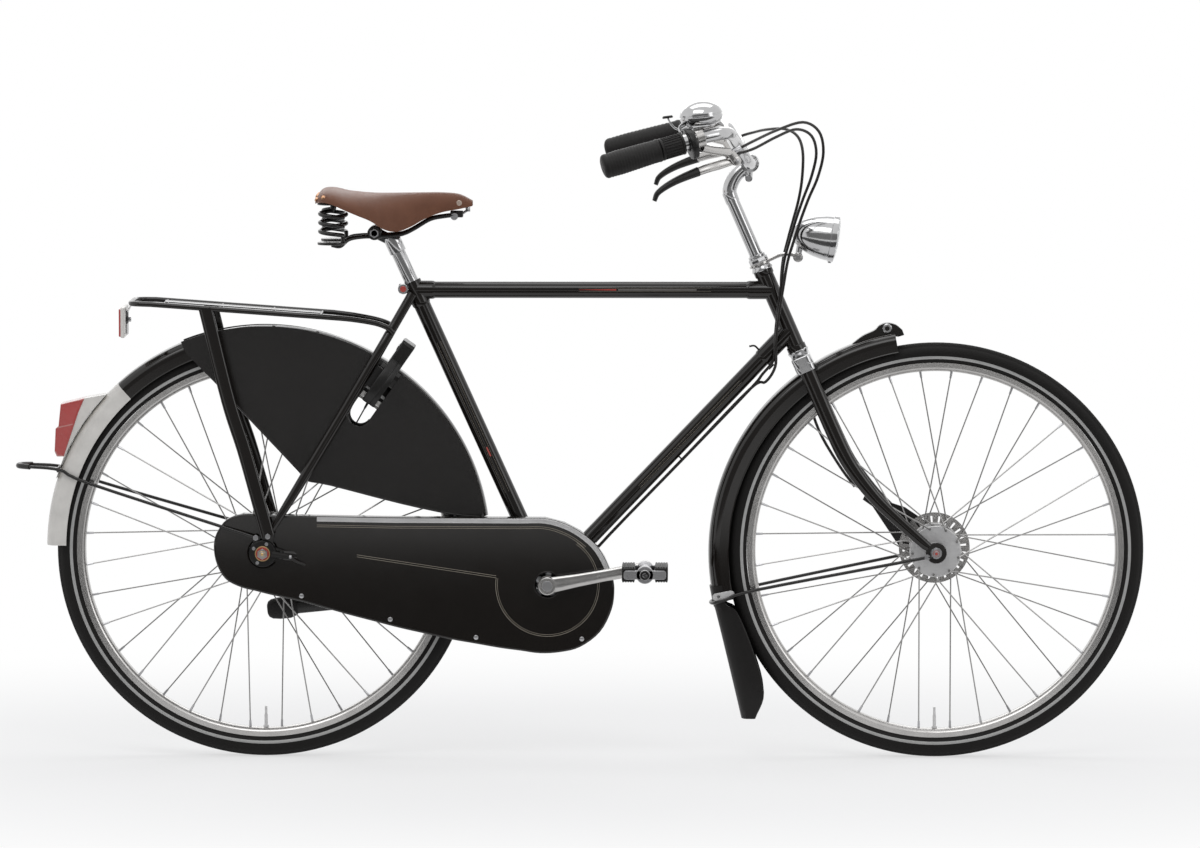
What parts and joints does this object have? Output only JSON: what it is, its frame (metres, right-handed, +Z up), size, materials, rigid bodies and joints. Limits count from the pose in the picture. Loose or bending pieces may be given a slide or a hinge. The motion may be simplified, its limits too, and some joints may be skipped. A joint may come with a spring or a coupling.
{
  "type": "dutch city bike",
  "caption": "Upright city bicycle with a lugged diamond frame, full chain case, coat guards, hub brakes, sprung leather saddle and carrier.",
  "frame": {"origin": "on the ground under the middle of the whole length, in the plane of the wheels", "axes": "+X forward, the way the bicycle rides; +Y to the rider's left; +Z up"},
  "size_m": [1.9368, 0.6264, 1.1374],
  "materials": {
    "gloss_black": "gloss enamel",
    "tyre": "matt rubber with a moulded tread",
    "rubber": "matt",
    "alloy": "brushed",
    "steel": "bright zinc plate",
    "chain_steel": "oiled",
    "chrome": "mirror",
    "black_plastic": "satin",
    "lever_coating": "satin dipped coating",
    "cable_cover": "satin",
    "coat_guard_vinyl": "fine-grained",
    "brown_leather": "polished",
    "clear_lens": "fluted inside",
    "red_lens": "clear moulded red"
  },
  "bodies": {
    "frame_body": {"frame": "gloss_black", "rear_mudguard": "gloss_black", "rear_mudguard_stay": "steel", "tail_lamp": "red_lens", "saddle_leather": "brown_leather", "saddle_frame": "chrome", "saddle_spring_right": "chrome", "saddle_spring_left": "chrome", "seat_post": "chrome", "luggage_carrier": "gloss_black", "rear_reflector": "red_lens", "ring_lock": "black_plastic", "coat_guard_right": "coat_guard_vinyl", "coat_guard_left": "coat_guard_vinyl", "rear_axle": "steel", "rear_brake": "alloy", "gear_changer": "black_plastic", "bottom_bracket": "steel", "chain": "chain_steel", "gear_cable": "cable_cover", "rear_brake_cable": "cable_cover", "chain_case_outer": "gloss_black", "chain_case_inner": "gloss_black", "chain_case_trim": "chrome"},
    "steering_body": {"fork": "gloss_black", "fork_crown_cover": "chrome", "headlamp_bracket": "gloss_black", "stem": "chrome", "handlebar": "chrome", "grip_right": "rubber", "grip_left": "rubber", "brake_bracket_right": "alloy", "brake_bracket_left": "alloy", "shifter_housing": "black_plastic", "bell": "chrome", "front_mudguard": "gloss_black", "front_mudflap": "rubber", "front_mudguard_stay": "steel", "front_axle": "steel", "front_brake": "alloy", "front_brake_cable": "cable_cover"},
    "twist_grip_body": {"twist_sleeve": "rubber"},
    "right_lever_body": {"brake_lever_right": "lever_coating"},
    "left_lever_body": {"brake_lever_left": "lever_coating"},
    "bell_lever_body": {"bell_lever": "chrome"},
    "headlamp_body": {"headlamp": "chrome", "headlamp_lens": "clear_lens"},
    "front_wheel_body": {"front_tyre": "tyre", "front_rim": "alloy", "front_hub": "steel"},
    "rear_wheel_body": {"rear_tyre": "tyre", "rear_rim": "alloy", "rear_hub": "steel"},
    "crank_body": {"crank_right": "alloy", "crank_left": "alloy"},
    "right_pedal_body": {"pedal_right": "rubber"},
    "left_pedal_body": {"pedal_left": "rubber"},
    "sprocket_body": {"sprocket": "steel"},
    "kickstand_body": {"kickstand": "alloy"},
    "lock_shackle_body": {"lock_shackle": "steel"}
  },
  "joints": [
    {"name": "steering_turn", "type": "hinge", "parent": "frame_body", "child": "steering_body", "pos_m": [0.34378, 0, 0.76998], "axis": [-0.4003, 0, 0.9164], "range_deg": [-70, 70], "deforming": ["gear_cable", "rear_brake_cable", "front_brake_cable"]},
    {"name": "front_wheel_spin", "type": "hinge", "parent": "steering_body", "child": "front_wheel_body", "pos_m": [0.61085, 0, 0.3575], "axis": [0, 1, 0], "continuous": true},
    {"name": "rear_wheel_spin", "type": "hinge", "parent": "frame_body", "child": "rear_wheel_body", "pos_m": [-0.54015, 0, 0.3575], "axis": [0, 1, 0], "continuous": true},
    {"name": "crank_spin", "type": "hinge", "parent": "frame_body", "child": "crank_body", "pos_m": [-0.05369, 0, 0.303], "axis": [0, 1, 0], "continuous": true, "deforming": ["chain"]},
    {"name": "sprocket_spin", "type": "hinge", "parent": "frame_body", "child": "sprocket_body", "pos_m": [-0.54015, 0, 0.3575], "axis": [0, 1, 0], "continuous": true},
    {"name": "right_pedal_spin", "type": "hinge", "parent": "crank_body", "child": "right_pedal_body", "pos_m": [0.11351, -0.142, 0.33369], "axis": [0, 1, 0], "continuous": true},
    {"name": "left_pedal_spin", "type": "hinge", "parent": "crank_body", "child": "left_pedal_body", "pos_m": [-0.2209, 0.142, 0.27231], "axis": [0, 1, 0], "continuous": true},
    {"name": "right_brake_pull", "type": "hinge", "parent": "steering_body", "child": "right_lever_body", "pos_m": [0.26426, -0.20195, 1.03585], "axis": [-0.4705, 0.8693, 0.1518], "range_deg": [0, 10], "stiffness_Nm_per_rad": 3, "springref_deg": -2.86},
    {"name": "left_brake_pull", "type": "hinge", "parent": "steering_body", "child": "left_lever_body", "pos_m": [0.26426, 0.20195, 1.03585], "axis": [0.4705, 0.8693, -0.1518], "range_deg": [0, 10], "stiffness_Nm_per_rad": 3, "springref_deg": -2.86},
    {"name": "gear_twist", "type": "hinge", "parent": "steering_body", "child": "twist_grip_body", "pos_m": [0.15875, -0.26578, 1.06203], "axis": [0.9279, 0.2602, 0.2672], "range_deg": [-120, 0]},
    {"name": "bell_ring", "type": "hinge", "parent": "steering_body", "child": "bell_lever_body", "pos_m": [0.18944, -0.2313, 1.08642], "axis": [-0.1365, 0.0385, 0.9899], "range_deg": [0, 20], "stiffness_Nm_per_rad": 0.15, "springref_deg": -5.73},
    {"name": "headlamp_tilt", "type": "hinge", "parent": "steering_body", "child": "headlamp_body", "pos_m": [0.3742, 0, 0.86096], "axis": [0, 1, 0], "range_deg": [-10, 15]},
    {"name": "kickstand_fold", "type": "hinge", "parent": "frame_body", "child": "kickstand_body", "pos_m": [-0.27969, 0.05, 0.27016], "axis": [0, -0.9342, -0.3567], "range_deg": [0, 95]},
    {"name": "lock_close", "type": "hinge", "parent": "frame_body", "child": "lock_shackle_body", "pos_m": [-0.33905, 0, 0.64396], "axis": [-0.8185, 0, 0.5746], "range_deg": [0, 112]}
  ],
  "couplings": [
    {"joint": "sprocket_spin", "follows": "crank_spin", "ratio": 2}
  ]
}
